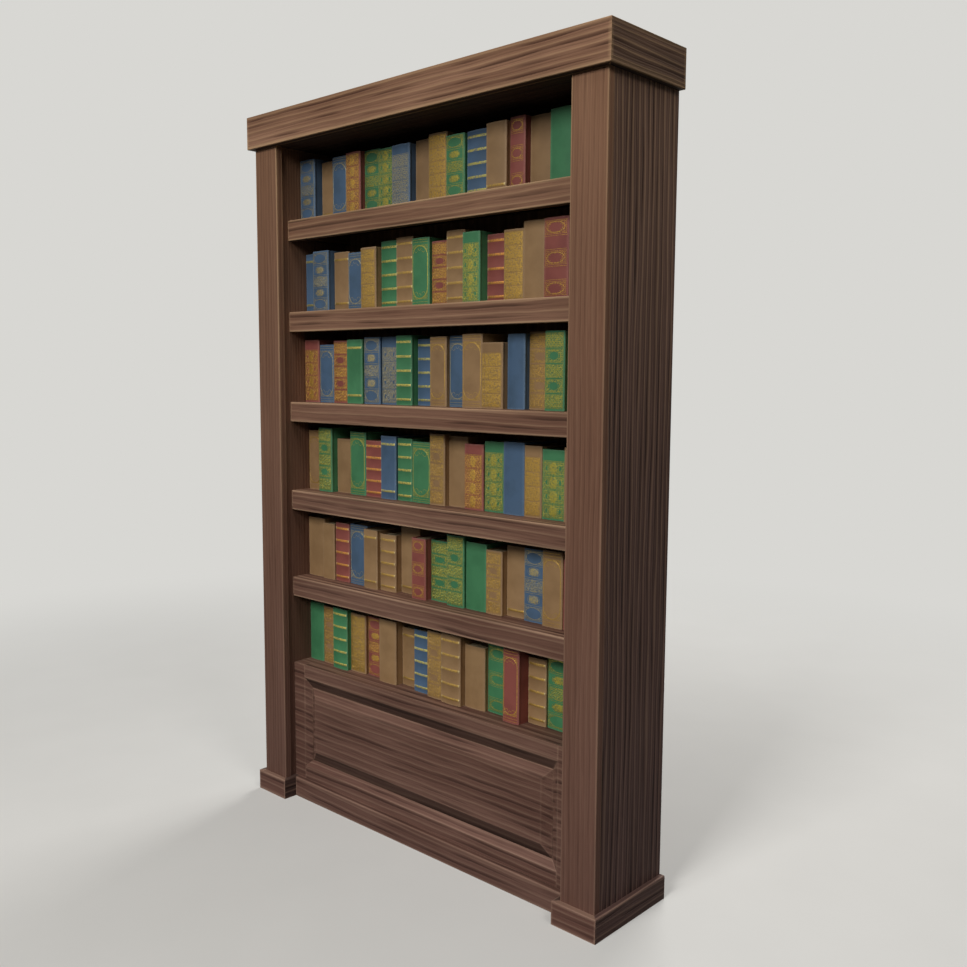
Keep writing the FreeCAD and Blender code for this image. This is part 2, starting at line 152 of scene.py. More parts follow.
# front of the cornice: paler, with short bold lines
corniceWalnut = dict(walnut, light="#9A745B", mid="#7F5C46", dark="#3A2117", ring=19.0, fade=190.0,
                     faintest=0.3, between=0.36, share=0.85)
# poplar where no one looks: sawn and left bare, dull and yellower
poplar = dict(walnut, light="#8B6B4C", mid="#73563C", dark="#4A3524", wornAndHighlight="#9C7B5A", share=0.4,
              relief=0.4, roughness=0.7)
lineShape = [(0.0, 1.0), (0.1, 0.85), (0.3, 0.28), (0.58, 0.0), (0.9, 0.12), (1.0, 1.0)]


def woodMaterial(name, look):
    material, tree, surface = newMaterial(name, look["surface"])
    grain, tone, wear, slope, foot = [addNode(tree, "Attribute", {}, attribute_name=label).outputs
                                      for label in ("grain", "tone", "wear", "slope", "foot")]
    # noise stretched along the board: what bends the growth lines, and one for every other pattern
    perMetre, fine = 1000 / look["ring"], 1000 / look["fibre"]
    alone = perMetre * look["fadeAlone"]
    fields = [(scales, 1.0) for scales, stray in look["wander"]]
    fields += [((1000 / look["fade"], alone, alone), 1.0), (look["patches"], 2.0),
               ((fine * look["fibreWidth"], fine, fine), 1.0)]
    noises = []
    for scales, detail in fields:
        space = addNode(tree, "VectorMath", {0: grain["Vector"], 1: scales}, operation="MULTIPLY")
        noises.append(addNode(tree, "TexNoise", {"Vector": space, "Scale": 1.0, "Detail": detail}))
    *bends, come, patch, fibre = noises
    # growth lines: even steps across the board, straying slowly along it, and finer ones halfway
    sawn = [share * perMetre for share in look["sawn"]]
    steps = addNode(tree, "VectorMath", {0: grain["Vector"], 1: sawn}, operation="DOT_PRODUCT")
    phase = steps.outputs["Value"]
    for (scales, stray), bend in zip(look["wander"], bends):
        phase = addNode(tree, "Math", {0: bend, 1: stray, 2: phase}, operation="MULTIPLY_ADD")
    double = addNode(tree, "Math", {0: phase, 1: 2.0, 2: 0.63}, operation="MULTIPLY_ADD")
    ring, halfway = [addNode(tree, "Math", {0: turns}, operation="FRACT") for turns in (phase, double)]
    line, fineLine = [setStops(addNode(tree, "ValToRGB", {"Fac": turn}), lineShape)
                      for turn in (ring, halfway)]
    # each line comes and goes along the board
    presence = addNode(tree, "MapRange", {"Value": come, "From Min": 0.4, "From Max": 0.62,
                                          "To Min": look["faintest"], "To Max": 1.0})
    strong = addNode(tree, "Math", {0: line, 1: presence}, operation="MULTIPLY")
    weak = addNode(tree, "Math", {0: fineLine, 1: look["between"]}, operation="MULTIPLY")
    darkness = addNode(tree, "Math", {0: strong, 1: weak}, operation="MAXIMUM")
    # paler and darker patches of wood, a painted highlight beside each dark line, and the dark lines
    base = setStops(addNode(tree, "ValToRGB", {"Fac": patch}), [(0.36, look["mid"]), (0.64, look["light"])])
    beside = setStops(addNode(tree, "ValToRGB", {"Fac": ring}),
                      [(0.3, 0.0), (0.42, look["pale"]), (0.56, 0.0)])
    highlighted = addNode(tree, "Mix", {0: beside, 6: base, 7: hexColour(look["wornAndHighlight"])}, data_type="RGBA")
    lineAmount = addNode(tree, "Math", {0: darkness, 1: look["share"]}, operation="MULTIPLY")
    lined = addNode(tree, "Mix", {0: lineAmount, 6: highlighted.outputs[2], 7: hexColour(look["dark"])},
                    data_type="RGBA")
    # the painted shade and light of this slope, the tone of this board and of the fibre
    fibreTone = addNode(tree, "MapRange", {"Value": fibre, "From Min": 0.3, "From Max": 0.7,
                                           "To Min": look["fibreTone"][0], "To Max": look["fibreTone"][1]})
    shade = slope["Fac"]
    for factor in (tone["Fac"], fibreTone):
        shade = addNode(tree, "Math", {0: shade, 1: factor}, operation="MULTIPLY")
    toned = addNode(tree, "VectorMath", {0: lined.outputs[2], "Scale": shade}, operation="SCALE")
    # wax rubbed off along the arrises, unevenly, partly a painted highlight of the edges, and a painted
    # cooler shade towards the floor
    rubbed = addNode(tree, "MapRange", {"Value": patch, "From Min": 0.3, "From Max": 0.65,
                                        "To Min": 0.35, "To Max": 1.0})
    wearAmount = addNode(tree, "Math", {0: wear["Fac"], 1: rubbed}, operation="MULTIPLY")
    wornAndHighlight = addNode(tree, "Mix", {0: wearAmount, 6: toned, 7: hexColour(look["wornAndHighlight"])},
                   data_type="RGBA").outputs[2]
    # a painted cooler shade towards the floor
    cooler = addNode(tree, "VectorMath", {0: wornAndHighlight, 1: look["foot"]}, operation="MULTIPLY")
    footShaded = addNode(tree, "Mix", {0: foot["Fac"], 6: wornAndHighlight, 7: cooler}, data_type="RGBA").outputs[2]
    # the lines sink, the fibre roughens
    fibreHeight = addNode(tree, "Math", {0: fibre, 1: look["fibreRelief"]}, operation="MULTIPLY")
    height = addNode(tree, "Math", {0: darkness, 1: -1.0, 2: fibreHeight}, operation="MULTIPLY_ADD")
    relief = addNode(tree, "Bump", {"Height": height, "Strength": 0.8, "Distance": look["relief"] * mm})
    gloss = addNode(tree, "MapRange", {"Value": darkness, "To Min": look["roughness"],
                                       "To Max": look["roughness"] + look["lineRoughness"]})
    feed(surface, {"Base Color": footShaded, "Normal": relief, "Roughness": gloss})
    return material


waxedWalnut = woodMaterial("waxed walnut", walnut)
sideWalnut = woodMaterial("strongly figured walnut", figuredWalnut)
crownWalnut = woodMaterial("flat-sawn walnut of the cornice", corniceWalnut)
mouldingWalnut = woodMaterial("close-lined walnut of the returns", returnWalnut)
stileWalnut = woodMaterial("straight-grained walnut", calmWalnut)
plainPoplar = woodMaterial("unfinished poplar", poplar)

boardLook = {
    "weld": 0.01,  # mm
    "flat": 1,  # degrees between faces that are one
    "sharp": 20,  # degrees from which an edge is an arris
    "shortest": 40.0,  # mm, shorter edges stay as they are
    "arris": 0.6,  # mm, every other sharp edge is eased once more
    "joint": 1.8,  # mm, the edges of the back boards are chamfered more
    "behind": 12.0,  # mm, a face belongs to the back board that lies this far behind it
    "narrowest": 12.0,  # mm, narrower faces get no worn band
    "narrowBand": 3.0,  # mm, the band of faces under three bands wide
    "toneSpread": 0.06,  # how far boards differ in tone
    "roughSpread": 0.4,  # the same for the unfinished boards
    "solidStep": 0.77,  # from one solid of a node to the next, where the nodes count 1
    "toneStep": 0.618,
    "logSteps": (0.731, 1.377, 2.113), "log": (5, 3, 3),  # m, every board is cut from another place
    "top": 0.998,  # share of the height over which the uppermost arrises lie
    "topRub": 0.5,  # how strong their wear and painted highlight are beside the others
    "foot": 0.28,  # painted shade: how much darker the wood is made at the floor than at the top
    "tilt": 0.2, "slopeArea": 100.0,  # mm2, what counts as a slope of the panel and its frame
    "paintedSlopeShade": 0.46, "paintedSlopeLight": 1.1,  # painted shade on those that face down, painted light on the others
    "underside": 0.16,  # painted shade on every face that looks down
    "stock": {"lining": 0.93, "plinth_front": 1.19, "plinth": 1.12, "raised_panel": 0.95,
              "frame_top_rail": 0.94},  # paler or darker boards
}
# how far the arrises of a kind of board are rubbed, partly as a painted highlight, the share of it left
# at the floor, and mm from the arris to unworn wood
arrisRubAndHighlight = {"frame": (0.2, 1, 4.0), "cornice": (0.75, 1, 11.0), "shelf": (0.8, 1, 5.0),
               "stile": (0.65, 0.3, 3.5), "plinth_front": (0.8, 1, 6.0), "plinth": (0.1, 1, 4.0),
               "panel": (0.12, 1, 4.0), "": (0.4, 1, 5.0)}
boardsAlong = {
    "X": "cornice_front cornice_back_rail cornice_cap top_board left_plinth_front right_plinth_front "
         "baseboard deck_board frame_left_stile frame_right_stile frame_top_rail frame_bottom_rail "
         "raised_panel",
    "Y": "left_cornice_return right_cornice_return left_plinth_return right_plinth_return "
         "left_plinth_side right_plinth_side shelf_cleats",
    "Z": "cornice_blocks left_front_stile right_front_stile left_side_lining right_side_lining "
         "left_side_panel right_side_panel side_battens back_boards",
}
for number in range(1, 6):
    boardsAlong["X"] += " shelf_%d shelf_%d_edge" % (number, number)
grainAxes = {node: axis for axis, nodes in boardsAlong.items() for node in nodes.split()}
axisOrder = {"X": (0, 1, 2), "Y": (1, 0, 2), "Z": (2, 0, 1)}
boardsBeside = {"back_boards": 8}
poplarNodes = ("cornice_back_rail", "cornice_cap", "cornice_blocks", "side_battens", "shelf_cleats",
               "back_boards")
# every other board is waxed walnut
woodOf = dict.fromkeys(poplarNodes, plainPoplar)
woodOf["cornice_front"] = crownWalnut
for side in ("left_", "right_"):
    woodOf[side + "side_panel"] = sideWalnut
    woodOf.update(dict.fromkeys((side + "front_stile", side + "side_lining"), stileWalnut))
    woodOf.update(dict.fromkeys((side + "cornice_return", side + "plinth_side", side + "plinth_return"),
                                mouldingWalnut))


def islandsOf(bm):
    # the vertices of every separate solid
    seen, islands = set(), []
    for vert in bm.verts:
        if vert in seen:
            continue
        island, queue = [], [vert]
        seen.add(vert)
        while queue:
            here = queue.pop()
            island.append(here)
            for edge in here.link_edges:
                other = edge.other_vert(here)
                if other not in seen:
                    seen.add(other)
                    queue.append(other)
        islands.append(island)
    return islands


def dressBoard(node, order):
    mesh = bpy.data.meshes.new(node + "_dressed")
    bm = bmesh.new()
    bm.from_mesh(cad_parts[node].data)
    # layers come first: adding one later would make the kept vertices invalid
    wear, tone, foot = [bm.verts.layers.float.new(label) for label in ("wear", "tone", "foot")]
    grain = bm.verts.layers.float_vector.new("grain")
    slope = bm.faces.layers.float.new("slope")
    # boards that touch along their joints are closed one by one, so that they stay apart
    boards = boardsBeside.get(node, 1)
    left, right = [pick(vert.co.x for vert in bm.verts) for pick in (min, max)]
    for board in range(boards):
        low, high = [left + (right - left) * (board + side) / boards for side in (0, 1)]
        inside = {face for face in bm.faces if boards == 1 or
                  low < face.calc_center_median().x - face.normal.x * boardLook["behind"] * mm < high}
        verts = [vert for vert in bm.verts if inside.intersection(vert.link_faces)]
        bmesh.ops.remove_doubles(bm, verts=verts, dist=boardLook["weld"] * mm)
    bmesh.ops.dissolve_limit(bm, angle_limit=math.radians(boardLook["flat"]), verts=bm.verts, edges=bm.edges)
    sharp = [edge for edge in bm.edges if edge.calc_face_angle(0) > math.radians(boardLook["sharp"])
             and edge.calc_length() > boardLook["shortest"] * mm]
    bmesh.ops.bevel(bm, geom=sharp, offset=boardLook["joint" if boards > 1 else "arris"] * mm,
                    segments=2, profile=0.5, affect="EDGES", clamp_overlap=False)
    edgeVerts = set(bm.verts)
    rub, atFloor, band = next(wornAndHighlight for kind, wornAndHighlight in arrisRubAndHighlight.items() if kind in node)
    if node in poplarNodes:
        rub = 0
    wide, narrow = [], []
    for face in bm.faces:
        width = 2 * face.calc_area() / max(face.calc_perimeter(), 1e-9) / mm
        if rub and width > boardLook["narrowest"]:
            (wide if width > 3 * band else narrow).append(face)
    for faces, inset in ((wide, band), (narrow, boardLook["narrowBand"])):
        bmesh.ops.inset_individual(bm, faces=faces, thickness=inset * mm, use_even_offset=True)
    stock = next((share for kind, share in boardLook["stock"].items() if kind in node), 1)
    spread = boardLook["roughSpread"] if node in poplarNodes else boardLook["toneSpread"]
    for number, island in enumerate(islandsOf(bm)):
        number = order + number * boardLook["solidStep"]
        start = Vector([number * step % size for step, size in zip(boardLook["logSteps"], boardLook["log"])])
        chance = number * boardLook["toneStep"] % 1 - 0.5
        for vert in island:
            height = vert.co.z / cadBox[1][2]
            vert[foot] = 1 - height
            # arrises paler: partly rubbed wax, partly a painted highlight
            vert[wear] = rub * (atFloor + (1 - atFloor) * height) if vert in edgeVerts else 0.0
            if "cornice" in node and height > boardLook["top"]:
                vert[wear] *= boardLook["topRub"]
            # the tone: stock and random spread, with painted shade darker towards the floor
            vert[tone] = stock * (1 + spread * chance - boardLook["foot"] * (1 - height))
            vert[grain] = Vector([vert.co[axis] for axis in axisOrder[grainAxes[node]]]) + start
    for face in bm.faces:
        face.smooth = True
        up = face.normal.z
        # painted shade on faces that look down, painted shade and light on the panel's downward and upward
        # slopes
        face[slope] = boardLook["underside"] if up < -0.9 else 1.0
        if face.normal.y < -0.5 and face.calc_area() > boardLook["slopeArea"] * mm * mm:
            if abs(up) > boardLook["tilt"]:
                face[slope] = boardLook["paintedSlopeLight" if up > 0 else "paintedSlopeShade"]
    bm.to_mesh(mesh)
    bm.free()
    mesh.materials.append(woodOf.get(node, waxedWalnut))
    slot = "back_wood" if node == "back_boards" else "inner_wood" if node in poplarNodes else "case_wood"
    piece = newPiece(node + "_board", mesh, "bookcase", slot, [node])
    shading = piece.modifiers.new("flat faces, soft arrises", "WEIGHTED_NORMAL")
    shading.keep_sharp = False


for order, node in enumerate(sorted(grainAxes), 1):
    dressBoard(node, order)
print("boards dressed,", len(grainAxes))


# cut nails in the back: black iron, dull as it comes from the press, browned by rust
nailLook = {"iron": "#2B2826", "rust": "#4A3326", "patch": 2.5}  # mm across a patch of rust
nailMaterial, tree, surface = newMaterial("black cut iron", {"Metallic": 0.8, "Roughness": 0.6})
place = addNode(tree, "TexCoord", {}).outputs["Object"]
patches = addNode(tree, "TexNoise", {"Vector": place, "Scale": 1000 / nailLook["patch"], "Detail": 3.0})
rust = setStops(addNode(tree, "ValToRGB", {"Fac": patches}),
                [(0.45, nailLook["iron"]), (0.7, nailLook["rust"])])
feed(surface, {"Base Color": rust})
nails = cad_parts["back_nails"]
nails.data.materials.clear()
nails.data.materials.append(nailMaterial)


# book leather: dyed calf, rubbed paler along its edges, with a fine pebbled grain
leather = {
    "green": ("#3E754E", "#5F8F6B", "#366A46"),  # field, rubbed edge, deep tone
    "tan": ("#8E704D", "#A68969", "#836645"),
    "red": ("#84483F", "#A06A60", "#783F38"),
    "blue": ("#465D76", "#6A8096", "#3F5469"),
    "mottle": 60.0,  # mm across a patch of uneven dye
    "scuffs": 220.0,  # rubbed spots per metre of an edge
    "pebble": 1.6,  # mm, drawn coarser than real grain so that it shows
    "relief": 0.25,  # mm
    "surface": {"Roughness": 0.6, "IOR": 1.48, "Specular IOR Level": 0.3},
}


def leatherMaterial(name, colours):
    material, tree, surface = newMaterial(name, leather["surface"])
    place = addNode(tree, "TexCoord", {}).outputs["Object"]
    wear, tone = [addNode(tree, "Attribute", {}, attribute_name=label).outputs["Fac"]
                  for label in ("wear", "tone")]
    mottle = addNode(tree, "TexNoise", {"Vector": place, "Scale": 1000 / leather["mottle"], "Detail": 3.0})
    field = setStops(addNode(tree, "ValToRGB", {"Fac": mottle}), [(0.35, colours[2]), (0.6, colours[0])])
    toned = addNode(tree, "VectorMath", {0: field, "Scale": tone}, operation="SCALE")
    scuffs = addNode(tree, "TexNoise", {"Vector": place, "Scale": leather["scuffs"], "Detail": 2.0})
    rub = addNode(tree, "Math", {0: wear, 1: scuffs}, operation="MULTIPLY")
    rubbed = addNode(tree, "Mix", {0: rub, 6: toned, 7: hexColour(colours[1])}, data_type="RGBA")
    pebble = addNode(tree, "TexVoronoi", {"Vector": place, "Scale": 1000 / leather["pebble"]})
    relief = addNode(tree, "Bump", {"Height": pebble, "Strength": 0.35, "Distance": leather["relief"] * mm})
    feed(surface, {"Base Color": rubbed.outputs[2], "Normal": relief})
    return material


coverColours = ("green", "tan", "red", "blue")
coverMaterials = [leatherMaterial(colour + " calf leather", leather[colour]) for colour in coverColours]

# gold leaf pressed into the leather: old and dull, rubbed so thin that the dye shows through it
gilt = {
    "green": ("#A0963F", "#647040", "#B5AB58"),  # tooled lines, where they are rubbed thin, raised bands
    "tan": ("#AB8941", "#866B3E", "#AE8C47"),
    "red": ("#B99140", "#8B6737", "#C98A44"),
    "blue": ("#9C9068", "#6A7074", "#B3AA5E"),
    "bandHighlight": "#E3D9A8",  # painted highlight on the ends of the raised bands, where they round over the spine's edges
    "spots": 260.0,  # rubbed spots per metre
    "metallic": (0.2, 0.85),  # where it is rubbed thin, and where it is whole
    "roughness": 0.5,
}


def giltMaterial(name, leaf, thin):
    material, tree, surface = newMaterial(name, {"Roughness": gilt["roughness"]})
    place = addNode(tree, "TexCoord", {}).outputs["Object"]
    wear, tone = [addNode(tree, "Attribute", {}, attribute_name=label).outputs["Fac"]
                  for label in ("wear", "tone")]
    spots = addNode(tree, "TexNoise", {"Vector": place, "Scale": gilt["spots"], "Detail": 3.0})
    rubbed = setStops(addNode(tree, "ValToRGB", {"Fac": spots}), [(0.36, thin), (0.52, leaf)])
    toned = addNode(tree, "VectorMath", {0: rubbed, "Scale": tone}, operation="SCALE")
    # painted highlight on the ends of the raised bands, where they round over the spine's edges
    paintedHighlight = addNode(tree, "Mix", {0: wear, 6: toned, 7: hexColour(gilt["bandHighlight"])}, data_type="RGBA")
    metal = addNode(tree, "MapRange", {"Value": spots, "From Min": 0.36, "From Max": 0.56,
                                       "To Min": gilt["metallic"][0], "To Max": gilt["metallic"][1]})
    feed(surface, {"Base Color": paintedHighlight.outputs[2], "Metallic": metal})
    return material


lineMaterials = [giltMaterial("gold leaf tooled on " + colour + " leather", *gilt[colour][:2])
                 for colour in coverColours]
bandMaterials = [giltMaterial("gold leaf on " + colour + " raised bands", gilt[colour][2], gilt[colour][1])
                 for colour in coverColours]

# page edges: cut rag paper, a pale block with the line of every few leaves
paper = {
    "sheet": "#CDBB96", "shadow": "#8E7A57",
    "leafStep": 1.4,  # mm, drawn coarser than real leaves so that it shows
    "drift": 12.0,  # changes per metre along a leaf
    "relief": 0.3,  # mm
}
paperMaterial, tree, surface = newMaterial("cut rag paper", {"Roughness": 0.85})
place = addNode(tree, "TexCoord", {}).outputs["Object"]
spread = (1000 / paper["leafStep"], paper["drift"], paper["drift"])
leaves = addNode(tree, "VectorMath", {0: place, 1: spread}, operation="MULTIPLY")
leafLines = addNode(tree, "TexNoise", {"Vector": leaves, "Scale": 1.0, "Detail": 2.0})
sheets = setStops(addNode(tree, "ValToRGB", {"Fac": leafLines}),
                  [(0.35, paper["shadow"]), (0.6, paper["sheet"])])
leafRelief = addNode(tree, "Bump", {"Height": leafLines, "Strength": 0.5, "Distance": paper["relief"] * mm})
feed(surface, {"Base Color": sheets, "Normal": leafRelief})


# the books in every row from the left, as leather colour and tooling
rows = [text.split(", ") for text in (
    "blue medallions, tan lowBand, blue longFrame, red lace, green medallions, green lace, blue topLace, "
    "tan plain, tan lace, green medallions, blue fiveBands, tan lowBand, red ovals, tan plain, green plain, "
    "tan plain",
    "blue twoBands, blue medallions, tan twoBands, blue longFrame, tan lace, green fiveBands, "
    "tan fiveBands, green longFrame, red panels, tan fiveBands, green topLace, red fiveBands, tan lace, "
    "tan plain, red ovals, green plain",
    "red topLace, blue longFrame, red panels, green twoBands, blue medallions, blue topLace, "
    "green fiveBands, blue fiveBands, tan longFrame, blue longFrame, tan longFrame, tan topLace, "
    "blue plain, tan panels, green panels, red panels",
    "tan longFrame, green panels, tan plain, green longFrame, red fiveBands, blue twoBands, "
    "green fiveBands, green longFrame, tan panels, tan plain, red topLace, green topLace, blue plain, "
    "tan topLace, green topLace, tan plain",
    "tan plain, tan plain, red fiveBands, blue longFrame, tan twoBands, tan fiveBands, tan lowBand, "
    "red ovals, green panels, green panels, green plain, tan panels, tan lowBand, blue medallions, "
    "tan longFrame, red plain",
    "green plain, tan panels, green fiveBands, tan lace, red medallions, tan plain, tan twoBands, "
    "blue fiveBands, tan panels, tan fiveBands, tan plain, green ovals, red longFrame, tan fiveBands, "
    "green medallions, blue plain",
)]
bookLook = {
    "coverThick": 3.2, "spineThick": 3.0, "pageInset": 3.5,  # mm, as the solids
    "spineRise": 0.04,  # share of the book's thickness, as the solids
    "spineFrom": 2.2,  # mm from the outside of the cover to the rounded spine
    "sharp": 38,  # degrees from which an edge shows as one
    "edge": 0.6,  # mm, rounding of the cover's cut edges
    "innerEdge": 0.5,  # mm, the same inside, and of the pages
    "foreEdge": (0.9, 0.2),  # mm, rounding of the fore edge, and where its middle lies
    "rubbed": 6.0,  # mm from the fore edge to unrubbed leather
    "endRubbed": 5.0,  # mm, the same from the foot and the head
    "groove": 1.0,  # mm, depth of the hinge groove beside the spine
    "grooveAt": 9.0,  # mm from the shoulder to the groove
    "grooveHalf": (5.0, 2.4),  # mm, half its width, and the same halfway down
    "shoulder": ((0.1, 1.9), (0.7, 0.6)),  # mm in from the side, and behind the crown's edge
    "spineWear": (0.7, 0.55),  # how rubbed the spine's edges are; on the ends of the gold bands the same value paints a highlight
    "bandRise": 0.9,  # mm a raised band stands out
    "bandHalf": 3.4,  # mm, half its height
    "bandShape": ((-1, 0), (-0.6, 0.8), (0, 1), (0.6, 0.8), (1, 0)),  # shares of those two
    "pageGap": 0.4,  # mm between pages and spine
    "rowShade": (0.84, 0.96, 1.0, 1.05, 1.12, 1.2),  # painted shade on the upper rows and painted light on the lower ones
    "toneSpread": 0.1,
    "giltTone": 1.02,  # the painted row light pales the gold no further than this
}
bandPlaces = {  # shares of the spine's height
    "fiveBands": (0.085, 0.29, 0.495, 0.7, 0.905),
    "twoBands": (0.13, 0.872),
    "lowBand": (0.1,),
}


def islandBoxes(node):
    # one box (low corner, high corner) for every separate solid in a node, from the left
    bm = bmesh.new()
    bm.from_mesh(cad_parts[node].data)
    bmesh.ops.remove_doubles(bm, verts=bm.verts, dist=boardLook["weld"] * mm)
    boxes = []
    for island in islandsOf(bm):
        boxes.append([Vector([pick(vert.co[axis] for vert in island) for axis in range(3)])
                      for pick in (min, max)])
    bm.free()
    return sorted(boxes, key=lambda box: box[0].x)


class Shell:
    # vertices in metres with their wear and highlight and their tone, and faces with the number of their
    # material
    def __init__(self):
        self.places, self.faces, self.kinds, self.wear, self.tone = [], [], [], [], []
        self.book, self.leaf, self.shade = None, 0, 1.0

    def add(self, place, wear=0.0, tone=None):
        self.places.append(place)
        self.wear.append(wear)
        self.tone.append(self.shade if tone is None else tone)
        return len(self.places) - 1

    def skin(self, rings, kindAt, ends):
        # four-sided faces from ring to ring, and the two ends
        count = len(rings[0])
        for k in range(len(rings) - 1):
            for i in range(count):
                j = (i + 1) % count
                self.faces.append((rings[k][i], rings[k][j], rings[k + 1][j], rings[k + 1][i]))
                self.kinds.append(kindAt(k, i))
        self.faces += [tuple(reversed(rings[0])), tuple(rings[-1])]
        self.kinds += [ends, ends]

    def mesh(self, name, materials):
        mesh = bpy.data.meshes.new(name)
        mesh.from_pydata(self.places, [], self.faces)
        for material in materials:
            mesh.materials.append(material)
        mesh.polygons.foreach_set("material_index", self.kinds)
        for label, data in (("wear", self.wear), ("tone", self.tone)):
            mesh.attributes.new(label, "FLOAT", "POINT").data.foreach_set("value", data)
        mesh.validate()
        mesh.shade_smooth()
        mesh.set_sharp_from_angle(angle=math.radians(bookLook["sharp"]))
        return mesh


def spineDepth(book, u):
    # how far behind its crown the rounded spine lies at u mm from the left
    thick = book["thick"]
    rise = thick * bookLook["spineRise"]
    radius = (thick * thick / 4 + rise * rise) / (2 * rise)
    return radius - math.sqrt(radius * radius - (u - thick / 2) ** 2)


def caseOutline(book):
    # x, y, wear, spine share: the cover from above, from the left fore edge round the spine and back inside
    thick, deep, cover = book["thick"], book["deep"], bookLook["coverThick"]
    rise, edge, inner = thick * bookLook["spineRise"], bookLook["edge"], bookLook["innerEdge"]
    corner, middle = bookLook["foreEdge"]
    groove, grooveY, (half, waist) = bookLook["groove"], rise + bookLook["grooveAt"], bookLook["grooveHalf"]
    left = [(corner, deep, 1, 0), (middle, deep - middle, 1, 0), (0, deep - corner, 1, 0),
            (0, deep - bookLook["rubbed"], 0, 0), (0, deep * 0.6, 0, 0), (0, grooveY + half, 0, 0),
            (groove * 0.5, grooveY + waist, 0, 0), (groove, grooveY, 0, 0),
            (groove * 0.5, grooveY - waist, 0, 0), (0, grooveY - half, 0.5, 0)]
    left += [(x, rise + y, 1, share) for (x, y), share in zip(bookLook["shoulder"], (0.1, 0.4))]
    arc, steps, (edgeWear, nextWear) = [], 12, bookLook["spineWear"]
    for step in range(-1, steps + 2):
        u = min(max(cover + (thick - 2 * cover) * step / steps, bookLook["spineFrom"]),
                thick - bookLook["spineFrom"])
        wear = {-1: edgeWear, 0: nextWear, steps: nextWear, steps + 1: edgeWear}.get(step, 0.0)
        arc.append((u, spineDepth(book, u), wear, 1 if 0 <= step <= steps else 0.8))
    right = [(thick - x, y, wear, share) for x, y, wear, share in reversed(left)]
    inside = [(thick - cover + inner, deep, 1, 0), (thick - cover, deep - edge, 1, 0)]
    for step in range(9):
        u = thick - cover - (thick - 2 * cover) * step / 8
        inside.append((u, spineDepth(book, u) + bookLook["spineThick"], 0, 0))
    inside += [(cover, deep - edge, 1, 0), (cover - inner, deep, 1, 0)]
    return left + arc + right + inside


def addCase(shell, book, leatherIndex, giltIndex):
    outline = caseOutline(book)
    count = len(outline)
    normals = []
    for i in range(count):
        before, after = outline[i - 1], outline[(i + 1) % count]
        dx, dy = after[0] - before[0], after[1] - before[1]
        size = math.hypot(dx, dy) or 1
        normals.append((-dy / size, dx / size))  # points into the cover
    tall, edge, rubbed = book["tall"], bookLook["edge"], bookLook["endRubbed"]
    levels = [(0, edge, 1, 0), (edge, 0, 1, 0), (rubbed, 0, 0, 0)]  # height, inset, wear, lift
    half, rise = bookLook["bandHalf"], bookLook["bandRise"]
    for place in bandPlaces.get(book["tooling"], ()):
        levels += [(tall * place + half * up, 0, 0, rise * out) for up, out in bookLook["bandShape"]]
    levels += [(tall - rubbed, 0, 0, 0), (tall - edge, 0, 1, 0), (tall, edge, 1, 0)]
    rings = []
    for z, inset, levelWear, lift in levels:
        rings.append([shell.add(book["at"] + Vector((x + nx * inset, y + ny * inset - lift * share, z)) * mm,
                                max(wear, levelWear), book["tone"])
                      for (x, y, wear, share), (nx, ny) in zip(outline, normals)])
    onBand = {i for i in range(count) if outline[i][3] == 1 and outline[(i + 1) % count][3] == 1}

    def kindAt(k, i):
        banded = levels[k][3] > 0 or levels[k + 1][3] > 0
        return giltIndex if banded and i in onBand else leatherIndex

    shell.skin(rings, kindAt, leatherIndex)


def addPages(shell, book):
    cover, inset, edge = bookLook["coverThick"], bookLook["pageInset"], bookLook["innerEdge"]
    thick, deep, tall = book["thick"], book["deep"], book["tall"]
    back = bookLook["spineThick"] + bookLook["pageGap"]
    front = deep - inset - thick * bookLook["spineRise"]
    outline = []
    for from_, along, y in ((cover, 1, back), (thick - cover, -1, front)):
        for step in range(9):
            u = from_ + along * (thick - 2 * cover) * step / 8
            outline.append((u, y + spineDepth(book, u)))
    rings = []
    for z, cut in ((inset, edge), (inset + edge, 0), (tall - inset - edge, 0), (tall - inset, edge)):
        rings.append([shell.add(book["at"] + Vector((u + (cut if u < thick / 2 else -cut),
                                                     y + (cut if y < deep / 2 else -cut), z)) * mm)
                      for u, y in outline])
    shell.skin(rings, lambda k, i: 0, 0)


# gold tooling, pressed on the spine
toolLook = {
    # a line across, from its middle as a share of its width; a dot and a field, as shares of the outline;
    # and how many mm the gold stands over the leather there
    "across": ((-0.5, -0.1), (-0.3, 0.3), (0.3, 0.3), (0.5, -0.1)),
    "dot": ((1, -0.1), (0.75, 0.3), (0, 0.39)),
    "field": ((1, -0.1), (0.96, 0.12), (0.48, 0.12), (0, 0.12)),
    "line": 2.0,  # mm, width of a tooled line
    "curl": 5.0,  # mm, one square of the close scrollwork
    "eye": 3.0,  # mm, radius of the two spots of bare leather in every field of lace
    "margins": (4.0, 6.0),  # mm from the spine's left and right edge to the tooling
    "over": 1.0,  # mm by which bars and frames reach past the fields
    "foot": 0.03, "head": 0.97,  # shares of the height where the tooling starts and ends
    "fields": 5,
    "lace": (0.965, 5), "topLace": (0.84, 4),  # where it ends, and the number of fields
    "laceField": 1.0, "laceIn": (0.8, 1.5),  # mm from a field's edges to its gold and its curls
    "laceOval": (0.36, 0.42), "eyesAt": 0.62,  # shares of the field's half width and its height
    "fieldIn": 2.2, "curlIn": 1.2,  # mm from the middle between two fields to their bars, and on
    "frame": (0.115, 0.885),  # shares of the height where the long frame starts and ends
    "frameBars": (0.03, 0.065, 0.935, 0.97),
    "frameFrom": 3.0,  # mm from the frame's ends to the start of the curls round them
    "leaves": ((-0.5, 0.42), (0.0, 0.24), (0.5, 0.42)), "leaf": 0.2,  # shares of the half width
}
